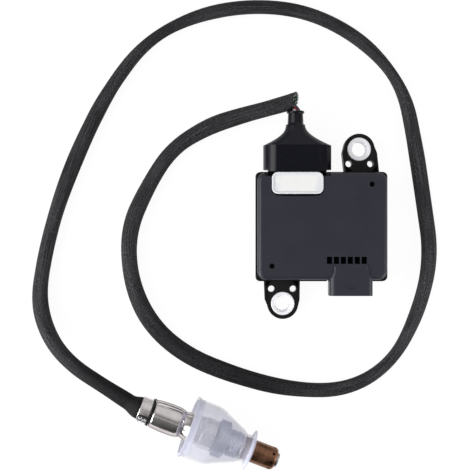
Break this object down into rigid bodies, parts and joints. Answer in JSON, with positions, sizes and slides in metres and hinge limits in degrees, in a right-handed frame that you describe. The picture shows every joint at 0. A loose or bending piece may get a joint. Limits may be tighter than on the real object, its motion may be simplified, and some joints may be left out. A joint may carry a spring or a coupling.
{
  "type": "exhaust gas sensor with control module",
  "caption": "Exhaust gas probe with a threaded gland nut under a translucent transport cap, on a braided cable that runs to a flat control module with a plug socket and bolt ears.",
  "frame": {"origin": "the middle of the two mounting bolts, in the plane of the module's back", "axes": "+Z from the module's back out of its face, +Y towards the side of the module where the cable leaves, +X to the right as the face is seen with +Y up"},
  "size_m": [0.2358, 0.2728, 0.0358],
  "materials": {
    "case_black": "fine matt moulding",
    "case_grey": "satin dark grey moulding",
    "case_seal": "thin light grey bead",
    "bush_steel": "turned, light grey",
    "board_green": "glass-filled laminate",
    "chip_black": "moulded",
    "can_aluminium": "drawn can",
    "pin_brass": "plated",
    "block_white": "white moulding",
    "soft_seal": "soft seal",
    "boot_black": "black soft moulding",
    "sleeve_charcoal": "charcoal braid",
    "band_steel": "bright crimped band",
    "shell_steel": "polished drawn steel",
    "ceramic_white": "fired ceramic",
    "body_steel": "turned steel",
    "talc_grey": "pressed powder",
    "element_white": "fired ceramic strip",
    "nut_steel": "turned, threaded",
    "tube_tinted": "heat-tinted brown",
    "tube_steel": "drawn steel",
    "cap_translucent": "translucent bluish white",
    "wire_red": "insulation",
    "wire_green": "insulation",
    "wire_white": "insulation",
    "wire_black": "insulation"
  },
  "bodies": {
    "sensor": {"housing_base": "case_black", "housing_cover": "case_grey", "cover_seal": "case_seal", "ear_bush_upper": "bush_steel", "ear_bush_lower": "bush_steel", "circuit_board": "board_green", "controller_chip": "chip_black", "driver_chip": "chip_black", "capacitors": "can_aluminium", "connector_pins": "pin_brass", "entry_block": "block_white", "wire_seal": "soft_seal", "cable_boot": "boot_black", "braided_sleeve": "sleeve_charcoal", "sleeve_flare": "sleeve_charcoal", "sleeve_band": "band_steel", "probe_rear_shell": "shell_steel", "wire_grommet": "soft_seal", "contact_holder": "ceramic_white", "probe_body": "body_steel", "insulator_rear": "ceramic_white", "talc_seal": "talc_grey", "insulator_front": "ceramic_white", "sensing_element": "element_white", "outer_tube": "tube_tinted", "inner_tube": "tube_steel", "lead_wire_red": "wire_red", "lead_wire_green": "wire_green", "lead_wire_white": "wire_white", "lead_wire_black": "wire_black"},
    "nut": {"gland_nut": "nut_steel"},
    "cap": {"protective_cap": "cap_translucent"}
  },
  "joints": [
    {"name": "gland_nut_spin", "type": "hinge", "parent": "sensor", "child": "nut", "pos_m": [-0.0767, -0.1146, 0.01794], "axis": [0.9295, -0.3643, -0.0582], "continuous": true},
    {"name": "protective_cap_pull", "type": "slide", "parent": "sensor", "child": "cap", "axis": [0.9295, -0.3643, -0.0582], "range_m": [0, 0.06]}
  ]
}
